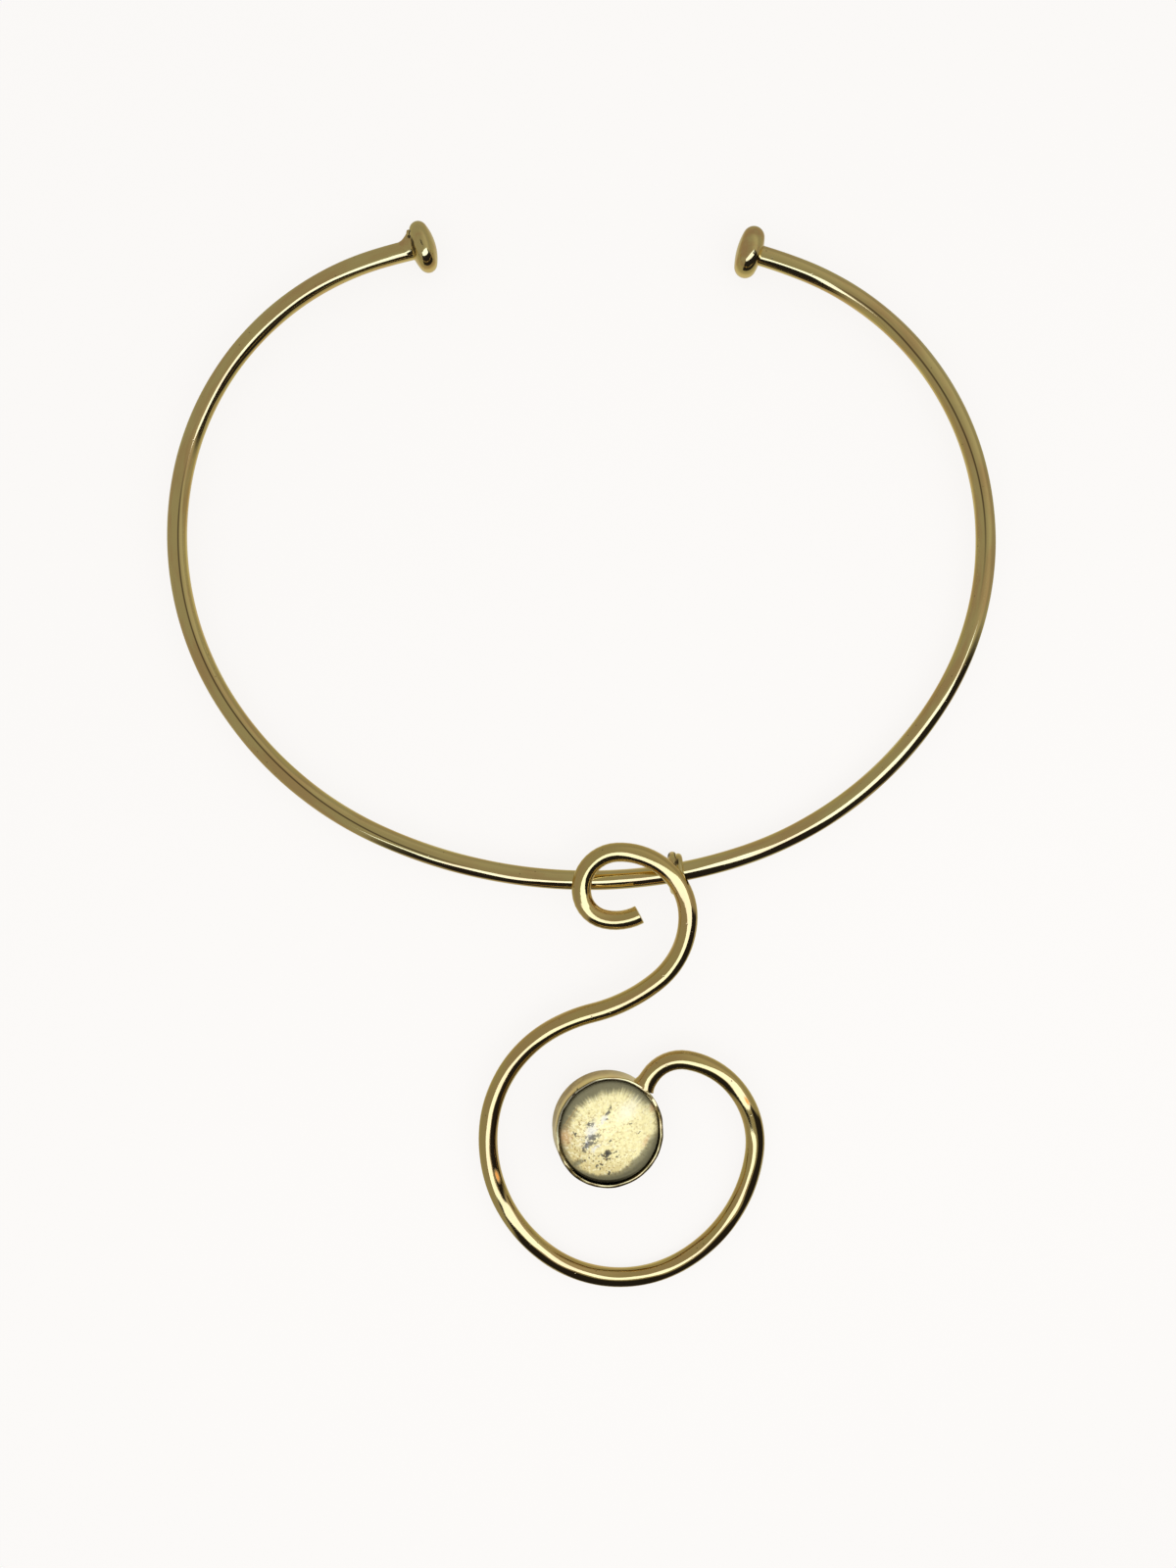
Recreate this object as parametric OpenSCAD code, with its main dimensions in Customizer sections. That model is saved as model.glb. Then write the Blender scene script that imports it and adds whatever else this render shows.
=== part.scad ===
// Open neck ring of stiff round wire with a swirl pendant and a domed stone.
// It lies flat: X runs across the neck, Y from the pendant up to the open ends, Z up from the surface.
// The origin is under the middle of the whole piece, on the surface that it lies on.

/* [Neck wire] */
// Diameter of the neck wire
neck_d = 3.2; // [2.4:0.1:3.4]
// Direction of the neck wire at the bail, turned up from X
neck_heading = 9.5; // [6:0.5:14]

/* [End buttons] */
// Diameter of the flattened buttons
button_d = 8.2; // [7.6:0.1:9.2]
// Rounding of the left button's edge
left_button_edge = 1.3; // [1:0.05:1.6]
// Height of the left button's outer face over its middle
left_button_front = 2.4; // [1.9:0.05:2.6]
// Height of the left button's inner face over its middle
left_button_back = 1.7; // [1.65:0.05:2]
// Rounding of the right button's edge
right_button_edge = 1.8; // [1.4:0.05:1.85]
// Height of the right button's two faces over its middle
right_button_face = 2.1; // [1.95:0.05:2.4]
// How far back from the left button's middle the solder flare behind it starts
flare_start = 2.9; // [2.6:0.05:3.2]
// Length of the solder flare
flare_length = 2; // [1.6:0.1:2.2]
// Radius of the flare inside the button
flare_r = 2.5; // [2.2:0.1:2.7]
// How far the flare sits off the wire's middle, towards the outside of the ring
flare_offset = 0.8; // [0.6:0.1:1]

/* [Bail] */
// Place of the bail's middle across the piece
bail_x = 14.76; // [13:0.02:17]
// Place of the bail's middle along the piece
bail_y = -18.9; // [-21:0.02:-17]
// Inside diameter of the bail ring
bail_bore = 3.9; // [3.8:0.05:4.2]
// Thickness of the bail ring's band
bail_band = 1.6; // [1.2:0.1:1.8]
// Width of the bail ring along the neck wire
bail_width = 2.3; // [1.8:0.1:2.6]
// How far the bail ring sits to the right of the place where the two wires cross
bail_offset = 0.7; // [0:0.1:0.8]

/* [Pendant wire] */
// Diameter of the pendant wire
swirl_d = 3.1; // [2.6:0.1:3.1]
// Height of the pendant wire's axis over the bail's axis
swirl_rise = 3.4; // [3.4:0.05:3.6]
// Direction of the pendant wire where it leaves the bail, turned from the bail's axis
swirl_heading = -53.5; // [-56:0.5:-49]
// Length of the straight end that meets the cup
swirl_stub = 2; // [1.8:0.1:2.2]

/* [Cup and stone] */
// Place of the cup's base from the bail, along the bail's axis
cup_across = -13.8; // [-15:0.1:-13]
// Place of the cup's base from the bail, down the pendant
cup_down = 40.6; // [40:0.1:41]
// Height of the cup's base over the bail's axis
cup_base_rise = 1.4; // [1.4:0.1:1.8]
// Lean of the cup to the right
cup_lean = 9; // [4:0.5:10]
// Width of the cup over its short side
cup_d = 17.9; // [17:0.1:18]
// How much longer the cup is than it is wide
cup_stretch = 0.7; // [0.2:0.1:1]
// Thickness of the cup's wall
cup_wall = 0.6; // [0.5:0.05:0.8]
// Thickness of the cup's floor
cup_floor = 0.8; // [0.6:0.1:1.2]
// Height of the cup from its base to the rim
cup_height = 4.8; // [4.4:0.1:5.2]
// Gap between the stone and the cup's wall and floor
stone_gap = 0.12; // [0.05:0.01:0.2]
// Height of the stone's straight side
stone_girdle = 3.3; // [2.8:0.1:3.6]
// Height of the dome over the straight side
stone_dome = 2.9; // [2:0.1:3.6]

/* [Hidden] */
$fn = 64;

// Columns of the bend tables: radius in millimetres and turn in degrees, left turns positive
RADIUS = 0;
TURN = 1;

// Neck wire from the bail round to the left end
left_bends = [
    [82.5, -34],
    [58.5, -32.5],
    [50.5, -46.5],
    [46, -60],
    [100, -3.9],
];
// Neck wire from the bail round to the right end
right_bends = [
    [77, 9.5],
    [60, 40],
    [49, 44.5],
    [47, 55],
    [90, 5.9],
];
// Pendant wire from the bail back over the small curl to its cut end
curl_bends = [
    [11.25, 52],
    [6, 100],
    [4.75, 65],
    [8.25, 40.5],
];
// Pendant wire from the bail down the S and round the swirl to the cup
swirl_bends = [
    [10.25, -41],
    [13.5, -50],
    [26.5, -25.5],
    [26.5, 14],
    [21, 57],
    [24, 58.5],
    [20, 68],
    [24.5, 51.5],
    [14.5, 49.5],
    [13, 37.5],
    [6, 67],
];

// Collar that covers the place where one bend of a wire goes over into the next
collar_rise = 0.04;
collar_length = 0.6;
// Radius of the flare's thin end, which starts inside the wire
flare_thin_r = 0.7;
// Steps in the half section of a button's face and of its rounded edge
FACE_STEPS = 4;
EDGE_STEPS = 8;

brass = [0.72, 0.6, 0.33];
gold_stone = [0.9, 0.86, 0.62];

button_r = button_d / 2;
swirl_r = swirl_d / 2;
bail_outer_r = bail_bore / 2 + bail_band;
bail_edge = bail_band / 2;
bail_mid_r = bail_bore / 2 + bail_edge;
bail_z = bail_outer_r;

// Point and heading at the end of a bend that starts at a point and heading
function bend_point(from, heading, bend, turned) =
    let (side = sign(bend[TURN]), r = bend[RADIUS])
    from + side * r * [sin(heading + turned) - sin(heading), cos(heading) - cos(heading + turned)];

// Points of a whole run of bends, one for each degree
function run_points(bends, from, heading, i = 0) =
    i == len(bends) ? [] : concat(
        [for (s = [0 : abs(bends[i][TURN])]) bend_point(from, heading, bends[i], s * sign(bends[i][TURN]))],
        run_points(bends, bend_point(from, heading, bends[i], bends[i][TURN]), heading + bends[i][TURN], i + 1)
    );

// How far the swirl reaches down from the bail, and the tilt that brings it down to the surface
swirl_reach = -min([for (p = run_points(swirl_bends, [0, 0], swirl_heading)) p[1]]);
pendant_tilt = acos((swirl_r - bail_z) / norm([swirl_reach, swirl_rise])) - atan2(swirl_reach, swirl_rise);

// The pendant's axis runs along the chord of the neck wire between the bail and the curl's crossing
curl_crossing = 15.6;
bail_turn = neck_heading - asin(curl_crossing / 2 / left_bends[0][RADIUS]);

// The neck wire tilts a little, from the bail up to the buttons that it stands on
left_points = run_points(left_bends, [0, 0], 180 + neck_heading);
neck_reach = left_points[len(left_points) - 1][1];
neck_tilt = asin((button_r - bail_z) / neck_reach);

// Points along an arc, counted from X
function arc_points(centre, r, from, to, steps) =
    [for (k = [0 : steps]) let (a = from + (to - from) * k / steps) centre + r * [cos(a), sin(a)]];

// Collar along X, over the wire
module bend_collar(d) {
    rotate([0, 90, 0])
        cylinder(d = d + 2 * collar_rise, h = collar_length, center = true);
}

// Round wire through a run of bends, from the origin along X, with the children at its end
module bent_wire(bends, d, i = 0) {
    if (i < len(bends)) {
        if (i > 0)
            bend_collar(d);
        r = bends[i][RADIUS];
        turn = bends[i][TURN];
        side = sign(turn);
        translate([0, side * r, 0])
            rotate([0, 0, side > 0 ? -90 : 90 + turn])
                rotate_extrude(angle = abs(turn))
                    translate([r, 0])
                        circle(d = d);
        translate([0, side * r, 0])
            rotate([0, 0, turn])
                translate([0, -side * r, 0])
                    bent_wire(bends, d, i + 1)
                        children();
    } else {
        children();
    }
}

// Radius of the dome that runs smoothly into a button's rounded edge
function dome_radius(rim, edge, height) = (rim * rim + height * height - edge * edge) / (2 * (height - edge));

// Flattened round button on X, its outer face towards +X: two domes and a rounded edge
module button(edge, front, back) {
    rim = button_r - edge;
    front_r = dome_radius(rim, edge, front);
    back_r = dome_radius(rim, edge, back);
    front_end = atan2(front_r - front, rim);
    back_end = atan2(back_r - back, rim);
    rotate([0, 90, 0])
        rotate_extrude()
            polygon(concat(
                arc_points([0, front - front_r], front_r, 90, front_end, FACE_STEPS),
                arc_points([rim, 0], edge, front_end, -back_end, EDGE_STEPS),
                arc_points([0, back_r - back], back_r, -back_end, -90, FACE_STEPS)
            ));
}

// Solder run up behind the left button, more of it on the outside of the ring
module solder_flare() {
    translate([-flare_start, flare_offset, 0])
        rotate([0, 90, 0])
            cylinder(h = flare_length, r1 = flare_thin_r, r2 = flare_r);
}

module neck_ring() {
    color(brass)
        translate([bail_x, bail_y, bail_z])
            rotate([neck_tilt, 0, 0]) {
                rotate([0, 0, neck_heading])
                    bend_collar(neck_d);
                rotate([0, 0, neck_heading])
                    bent_wire(right_bends, neck_d)
                        button(right_button_edge, right_button_face, right_button_face);
                rotate([0, 0, 180 + neck_heading])
                    bent_wire(left_bends, neck_d) {
                        button(left_button_edge, left_button_front, left_button_back);
                        solder_flare();
                    }
            }
}

// Places its children in the pendant's own frame, whose X is the axis that the pendant swings on
module at_bail() {
    translate([bail_x, bail_y, bail_z])
        rotate([0, 0, bail_turn])
            rotate([pendant_tilt, 0, 0])
                children();
}

// Places its children on the middle of the cup's base
module at_cup() {
    at_bail()
        translate([cup_across, -cup_down, cup_base_rise])
            rotate([0, cup_lean, 0])
                children();
}

// Slightly oval prism, as long as it is wide plus the cup's stretch
module oval(d, height) {
    for (end = [-1, 1])
        translate([0, end * cup_stretch / 2, 0])
            cylinder(d = d, h = height);
    translate([-d / 2, -cup_stretch / 2, 0])
        cube([d, cup_stretch, height]);
}

// Ring with a rounded band, its axis along X
module bail_ring() {
    rotate([0, 90, 0])
        rotate_extrude()
            translate([bail_mid_r, bail_offset]) {
                for (end = [-1, 1])
                    translate([0, end * (bail_width / 2 - bail_edge)])
                        circle(r = bail_edge);
                square([bail_band, bail_width - bail_band], center = true);
            }
}

module swirl_pendant() {
    color(brass)
        difference() {
            union() {
                at_bail() {
                    bail_ring();
                    translate([0, 0, swirl_rise]) {
                        rotate([0, 0, swirl_heading])
                            bent_wire(swirl_bends, swirl_d) {
                                bend_collar(swirl_d);
                                rotate([0, 90, 0])
                                    cylinder(d = swirl_d, h = swirl_stub);
                            }
                        rotate([0, 0, swirl_heading])
                            bend_collar(swirl_d);
                        rotate([0, 0, 180 + swirl_heading])
                            bent_wire(curl_bends, swirl_d);
                    }
                }
                at_cup()
                    oval(cup_d, cup_height);
            }
            at_cup()
                translate([0, 0, cup_floor])
                    oval(cup_d - 2 * cup_wall, cup_height);
        }
}

module stone() {
    stone_d = cup_d - 2 * cup_wall - 2 * stone_gap;
    dome_r = (stone_d * stone_d / 4 + stone_dome * stone_dome) / (2 * stone_dome);
    color(gold_stone)
        at_cup()
            translate([0, 0, cup_floor + stone_gap])
                intersection() {
                    oval(stone_d, stone_girdle + stone_dome);
                    translate([0, 0, stone_girdle + stone_dome - dome_r])
                        sphere(r = dome_r, $fn = 128);
                }
}

neck_ring();
swirl_pendant();
stone();
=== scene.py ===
"""Looks of the open collar choker with a swirl pendant and a domed stone.

The wires are drawn out along the same bends as the solids, ring by ring. They carry their own run places, so
that the drawing marks follow the metal. Sizes are in millimetres until a piece is put in its place in metres.
"""

import logging
import math
from dataclasses import dataclass
from enum import Enum
from typing import Iterable, Optional, Sequence, Union

import bmesh
import bpy
from mathutils import Matrix, Vector, noise


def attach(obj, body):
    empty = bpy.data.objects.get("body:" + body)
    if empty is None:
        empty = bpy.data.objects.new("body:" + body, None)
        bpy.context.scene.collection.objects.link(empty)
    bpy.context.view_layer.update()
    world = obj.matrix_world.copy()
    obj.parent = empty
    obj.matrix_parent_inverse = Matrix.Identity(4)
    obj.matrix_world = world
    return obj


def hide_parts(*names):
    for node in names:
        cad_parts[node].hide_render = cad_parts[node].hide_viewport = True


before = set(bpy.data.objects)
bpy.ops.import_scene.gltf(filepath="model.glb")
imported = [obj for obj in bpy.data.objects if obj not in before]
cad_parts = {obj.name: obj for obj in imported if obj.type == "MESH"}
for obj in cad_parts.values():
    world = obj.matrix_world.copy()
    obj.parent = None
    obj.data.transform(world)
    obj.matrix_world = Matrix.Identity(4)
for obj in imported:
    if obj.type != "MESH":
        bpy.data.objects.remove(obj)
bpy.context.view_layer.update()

MM = 0.001
WIRE_RUN = "wire_run"
NECK_BODY = "neck_ring"
PENDANT_BODY = "pendant"
FLAT_SIDES = 12
FLAT_BORDER = 0.10
CREASE = 35.0
TOUCHING = 1e-4
ANY_HEIGHT = 1000.0
MARK_EDGE = 1.25
ORIGIN = (0.0, 0.0, 0.0)
SIDEWAYS = (0.0, 1.0, 0.0)
UPWARDS = (0.0, 0.0, 1.0)
FACING_X = Matrix.Rotation(math.radians(90.0), 4, "Y")
log = logging.getLogger("choker")

Number = Union[float, "Signal"]
Colour = tuple[float, float, float]
Shape = bmesh.types.BMesh
Point = bmesh.types.BMVert
Edge = bmesh.types.BMEdge


@dataclass(frozen=True)
class Bend:
    """One bend of a wire: radius in millimetres and turn in degrees, left turns positive."""

    radius: float
    turn: float

    @property
    def side(self) -> float:
        """Tell which way the bend goes: 1 to the left, -1 to the right."""
        return math.copysign(1.0, self.turn)

    @property
    def length(self) -> float:
        """Give the length of the wire's middle in the bend."""
        return self.radius * math.radians(abs(self.turn))

    def backwards(self) -> "Bend":
        """Give the same bend as it is met from its other end."""
        return Bend(self.radius, -self.turn)


@dataclass(frozen=True)
class Station:
    """A place on a flat run of wire, with the heading in degrees that the wire has there."""

    x: float
    y: float
    heading: float

    @property
    def middle(self) -> Vector:
        """Give the wire's middle."""
        return Vector((self.x, self.y, 0.0))

    @property
    def across(self) -> Vector:
        """Give the direction to the left of the wire."""
        angle = math.radians(self.heading)
        return Vector((-math.sin(angle), math.cos(angle), 0.0))

    @property
    def ahead(self) -> Vector:
        """Give the direction that the wire runs in."""
        angle = math.radians(self.heading)
        return Vector((math.cos(angle), math.sin(angle), 0.0))

    @property
    def frame(self) -> Matrix:
        """Give the place whose X is the wire's heading."""
        return Matrix.Translation(self.middle) @ Matrix.Rotation(math.radians(self.heading), 4, "Z")

    def hub(self, bend: Bend) -> Vector:
        """Give the middle that a bend from here turns about."""
        return self.middle + bend.side * bend.radius * self.across

    def after(self, bend: Bend, share: float = 1.0) -> "Station":
        """Go along a bend.

        Args:
            bend: The bend that starts here.
            share: How much of the bend is gone through.

        Returns:
            The station that is reached.
        """
        turned = math.radians(bend.turn * share)
        reached = self.hub(bend) + Matrix.Rotation(turned, 3, "Z") @ (self.middle - self.hub(bend))
        return Station(reached.x, reached.y, self.heading + bend.turn * share)

    def beyond(self, length: float) -> "Station":
        """Go straight on for a length."""
        reached = self.middle + length * self.ahead
        return Station(reached.x, reached.y, self.heading)

    def about(self) -> "Station":
        """Turn round on the spot."""
        return Station(self.x, self.y, self.heading + 180.0)


def follow(start: Station, bends: Iterable[Bend]) -> Station:
    """Go through a run of bends.

    Args:
        start: Where the run starts.
        bends: Its bends in order.

    Returns:
        The station at its end.
    """
    here = start
    for bend in bends:
        here = here.after(bend)
    return here


def joined(behind: Sequence[Bend], ahead: Sequence[Bend]) -> tuple[Bend, ...]:
    """Give one run of bends out of two that start at the same place, from the end of the first."""
    return (*(bend.backwards() for bend in reversed(behind)), *ahead)


def swell(seed: float, along: float, pitch: float, size: float) -> float:
    """Give a slow, smooth unevenness along a hand-worked edge.

    Args:
        seed: Which unevenness.
        along: Where on the edge.
        pitch: Rough distance between its bumps.
        size: Its greatest height.

    Returns:
        The height at that place.
    """
    return size * noise.noise(Vector((along / pitch, seed, 0.37)), noise_basis="PERLIN_ORIGINAL")


@dataclass(frozen=True)
class Mark:
    """A small mark, by its middle, length, width and turn in degrees from X, with soft for its faded edge.

    Lengths are in millimetres, and on the stone in shares of its radius from its middle.
    """

    x: float
    y: float
    length: float
    width: float
    turn: float = 0.0
    soft: float = 0.6


class Signal:
    """A node's output that takes part in Python expressions, each of which adds its own Math node."""

    def __init__(self, graph: "Graph", socket: bpy.types.NodeSocket) -> None:
        """Keep the graph and the output socket."""
        self.graph = graph
        self.socket = socket

    def __add__(self, other: Number) -> "Signal":
        """Add a value."""
        return self.graph.math("ADD", self, other)

    def __radd__(self, other: Number) -> "Signal":
        """Add this to a value."""
        return self.graph.math("ADD", other, self)

    def __sub__(self, other: Number) -> "Signal":
        """Take a value off."""
        return self.graph.math("SUBTRACT", self, other)

    def __rsub__(self, other: Number) -> "Signal":
        """Take this off a value."""
        return self.graph.math("SUBTRACT", other, self)

    def __mul__(self, other: Number) -> "Signal":
        """Multiply by a value."""
        return self.graph.math("MULTIPLY", self, other)

    def __rmul__(self, other: Number) -> "Signal":
        """Multiply a value by this."""
        return self.graph.math("MULTIPLY", other, self)

    def __truediv__(self, other: Number) -> "Signal":
        """Divide by a value."""
        return self.graph.math("DIVIDE", self, other)

    def over(self, low: float, high: float) -> "Signal":
        """Rise smoothly from 0 to 1 between two values, or fall where low is the greater."""
        rising = self.graph.add(
            "ShaderNodeMapRange",
            {"interpolation_type": "SMOOTHSTEP"},
            {0: self, 1: min(low, high), 2: max(low, high)},
        )
        return rising if low <= high else 1.0 - rising


class Graph:
    """The node tree of one material, or of the surroundings."""

    def __init__(self, name: str, world: bool = False) -> None:
        """Start an empty material or an empty world."""
        self.owner = (bpy.data.worlds if world else bpy.data.materials).new(name)
        self.owner.use_nodes = True
        self.tree = self.owner.node_tree
        self.tree.nodes.clear()

    def add(
        self,
        kind: str,
        settings: Optional[dict[str, object]] = None,
        inputs: Optional[dict[Union[int, str], object]] = None,
        output: Union[int, str] = 0,
    ) -> Signal:
        """Add a node.

        Args:
            kind: The node's type.
            settings: Its settings, made before its inputs.
            inputs: Values or signals of its sockets, by name or number.
            output: The output that is wanted.

        Returns:
            That output.
        """
        node = self.tree.nodes.new(kind)
        for name, value in (settings or {}).items():
            setattr(node, name, value)
        for name, value in (inputs or {}).items():
            socket = node.inputs[name]
            if isinstance(value, Signal):
                self.tree.links.new(value.socket, socket)
            else:
                socket.default_value = (*value, 1.0) if socket.type == "RGBA" else value
        return Signal(self, node.outputs[output] if node.outputs else None)

    def math(self, operation: str, *values: Number) -> Signal:
        """Add a Math node for one to three values."""
        return self.add("ShaderNodeMath", {"operation": operation}, dict(enumerate(values)))

    def vector(self, operation: str, *values: object, output: int = 0) -> Signal:
        """Add a Vector Math node."""
        return self.add("ShaderNodeVectorMath", {"operation": operation}, dict(enumerate(values)), output)

    def split(self, place: Signal) -> list[Signal]:
        """Give the X, Y and Z of a place."""
        node = self.add("ShaderNodeSeparateXYZ", {}, {0: place}).socket.node
        return [Signal(self, part) for part in node.outputs]

    def blend(self, share: Number, first: object, second: object) -> Signal:
        """Mix two colours by a share of the second."""
        return self.add("ShaderNodeMix", {"data_type": "RGBA"}, {0: share, 6: first, 7: second}, 2)

    def coats(self, colour: object, *coats: tuple[Number, object]) -> Signal:
        """Lay coats over a colour, each by its share and its own colour."""
        for share, coat in coats:
            colour = self.blend(share, colour, coat)
        return colour

    def grain(self, place: Signal, pitch: Colour, detail: float = 2.0, shift: float = 0.0) -> Signal:
        """Add a smooth noise from 0 to 1.

        Args:
            place: Where on the piece, in millimetres.
            pitch: How often it repeats in a millimetre, along each direction.
            detail: How fine it goes.
            shift: A different number gives a different noise.

        Returns:
            The noise.
        """
        moved = self.vector("ADD", self.vector("MULTIPLY", place, pitch), (shift, shift * 0.7, shift * 1.3))
        inputs = {"Vector": moved, "Scale": 1.0, "Detail": detail, "Roughness": 0.55}
        return self.add("ShaderNodeTexNoise", {}, inputs)

    def flecks(self, place: Signal, pitch: float, shift: float = 0.0) -> Signal:
        """Give the distance to the nearest of many scattered points, in their own pitch."""
        moved = self.vector("ADD", self.vector("MULTIPLY", place, (pitch,) * 3), (shift,) * 3)
        return self.add("ShaderNodeTexVoronoi", {"feature": "F1"}, {"Vector": moved, "Scale": 1.0})

    def oval(self, place: Signal, mark: Mark) -> Signal:
        """Give how far out a place is on a mark, with 1 on the mark's edge, at any height."""
        inputs = {
            "Vector": place,
            "Location": (mark.x, mark.y, 0.0),
            "Rotation": (0.0, 0.0, math.radians(mark.turn)),
            "Scale": (mark.length / 2, mark.width / 2, ANY_HEIGHT),
        }
        centred = self.add("ShaderNodeMapping", {"vector_type": "TEXTURE"}, inputs)
        return self.vector("LENGTH", centred, output=1)

    def spot(self, place: Signal, mark: Mark) -> Signal:
        """Give 1 on a mark, falling to 0 just outside it."""
        return self.oval(place, mark).over(MARK_EDGE, MARK_EDGE - mark.soft)

    def spots(self, place: Signal, marks: Iterable[Mark]) -> Number:
        """Give the strongest of several marks."""
        strongest: Number = 0.0
        for mark in marks:
            strongest = self.math("MAXIMUM", self.spot(place, mark), strongest)
        return strongest

    def ragged(self, place: Signal, pitch: float, by: float) -> Signal:
        """Give a place moved about flat, so that marks on it have ragged edges."""
        pull = self.add("ShaderNodeTexNoise", {}, {"Vector": place, "Scale": pitch, "Detail": 3.0}, 1)
        centred = self.vector("SUBTRACT", pull, (0.5,) * 3)
        return self.vector("ADD", place, self.vector("MULTIPLY", centred, (by, by, 0.0)))

    def place_in_mm(self) -> Signal:
        """Give the place on the piece in millimetres."""
        return self.vector("MULTIPLY", self.add("ShaderNodeTexCoord", output="Object"), (1.0 / MM,) * 3)

    def wire_run(self) -> Signal:
        """Give the place on a wire: across it, up it and along it, in millimetres."""
        return self.add("ShaderNodeAttribute", {"attribute_name": WIRE_RUN}, output="Vector")

    def relief(self, height: Signal) -> Signal:
        """Give the normal of a surface whose height is in millimetres."""
        return self.add("ShaderNodeBump", {}, {"Strength": 1.0, "Distance": MM, "Height": height})

    def glow(self, colour: object, strength: float = 1.0) -> Signal:
        """Add an even glow."""
        return self.add("ShaderNodeEmission", {}, {"Color": colour, "Strength": strength})

    def close(self, shader: Signal, output: str = "ShaderNodeOutputMaterial") -> bpy.types.ID:
        """Lead a shader to the output and give the material or world."""
        self.add(output, {}, {"Surface": shader})
        return self.owner

    def surface(self, inputs: dict[Union[int, str], object]) -> bpy.types.Material:
        """Close the graph with a surface shader that has these values or signals."""
        return self.close(self.add("ShaderNodeBsdfPrincipled", {}, inputs))


class Grain(Enum):
    """What a brass finish follows."""

    WIRE = "the run of the wire"
    PLACE = "the place on the piece"


@dataclass(frozen=True)
class BrassFinish:
    """Polished brass with drawing marks, small nicks, stains and a little ruddy tarnish. Its stain marks also
    paint shade on some pieces, and its glints are painted orange highlights.
    """

    name: str
    grain: Grain
    shift: float = 0.0
    brass: Colour = (0.85, 0.69, 0.31)
    ruddy: Colour = (0.79, 0.52, 0.24)
    # dark brown of pores and stains, also used for painted shade and a painted dark reflection
    grime_and_shade: Colour = (0.16, 0.10, 0.05)
    # orange of the painted highlights (glints)
    painted_glint_orange: Colour = (1.0, 0.40, 0.07)
    ruddy_share: float = 0.7
    roughness: float = 0.05
    hammered: float = 0.40
    hammer_pitch: Colour = (0.45, 0.45, 0.05)
    mottle_pitch: Colour = (0.6, 0.6, 0.10)
    marks_above: float = 3.0
    marks_fade: float = 0.5
    wire_marks: Colour = (7.0, 7.0, 0.12)
    plain_marks: Colour = (2.2, 2.2, 2.2)
    pore_pitch: float = 0.62
    stains_and_shade: tuple[Mark, ...] = ()
    glints: tuple[Mark, ...] = ()

    def make(self) -> bpy.types.Material:
        """Make the material."""
        graph = Graph(self.name)
        spot = graph.place_in_mm()
        on_wire = self.grain is Grain.WIRE
        place = graph.wire_run() if on_wire else spot
        drawn = graph.grain(place, self.wire_marks if on_wire else self.plain_marks, 4.0, self.shift)
        slow = graph.grain(place, self.hammer_pitch, 1.0, self.shift + 7.0)
        mottle = graph.grain(place, self.mottle_pitch, 4.0, self.shift + 11.0)
        pores = graph.flecks(place, self.pore_pitch, self.shift).over(0.10, 0.03)
        upper = graph.split(spot)[2].over(self.marks_above, self.marks_above + self.marks_fade)
        # stain marks: real stains and nicks, and on the buttons and the bail also painted shade
        stain_and_shade = upper * graph.spots(graph.ragged(spot, 2.4, 0.45), self.stains_and_shade)
        # glints are painted highlights: orange spots, less metallic and rougher, so that they stay bright
        glinting = upper * graph.spots(spot, self.glints)
        colour = graph.coats(
            self.brass,
            (mottle.over(0.40, 0.64) * self.ruddy_share, self.ruddy),
            (drawn.over(0.55, 0.75) * 0.18, self.ruddy),
            (pores * 0.6, self.grime_and_shade),
        )
        colour = self.tone(graph, place, colour)
        colour = graph.coats(colour, (stain_and_shade * 0.92, self.grime_and_shade), (glinting, self.painted_glint_orange))
        height = slow * self.hammered + drawn * 0.0016 - pores * 0.02 - stain_and_shade * 0.04
        worn = drawn * 0.05 + mottle.over(0.5, 0.8) * 0.05
        rough = self.roughness + worn + stain_and_shade * 0.3 + glinting * 0.3
        metal = 1.0 - glinting * 0.85
        relief = graph.relief(height)
        return graph.surface({"Base Color": colour, "Metallic": metal, "Roughness": rough, "Normal": relief})

    def tone(self, graph: Graph, place: Signal, colour: Signal) -> Signal:
        """Add what only one piece has to its colour. Plain brass has nothing more."""
        return colour


@dataclass(frozen=True)
class NeckWireFinish(BrassFinish):
    """Brass of the neck wire, with a painted thin dark reflection line that wanders along the upper side of
    its two arms.
    """

    line_from: float = 0.62
    line_drifts: tuple[tuple[float, float, float], ...] = (
        (57.0, 90.0, -0.25), (105.0, 140.0, -0.42), (180.0, 255.0, 0.48), (262.0, 290.0, 0.40),
        (292.0, 304.0, -0.20),
    )

    def tone(self, graph: Graph, place: Signal, colour: Signal) -> Signal:
        """Paint the dark reflection line."""
        across, up, along = graph.split(place)
        line: Number = self.line_from
        for start, end, drift in self.line_drifts:
            line = along.over(start, end) * drift + line
        left_arm = along.over(48.0, 66.0) * along.over(148.0, 134.0)
        right_arm = along.over(246.0, 268.0) * along.over(314.0, 302.0)
        # painted reflection: a thin dark line along the top of each arm
        painted_reflection_line = graph.math("ABSOLUTE", across - line).over(0.19, 0.04) * up.over(0.0, 0.2)
        return graph.blend(painted_reflection_line * (left_arm + right_arm) * 0.9, colour, self.grime_and_shade)


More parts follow.
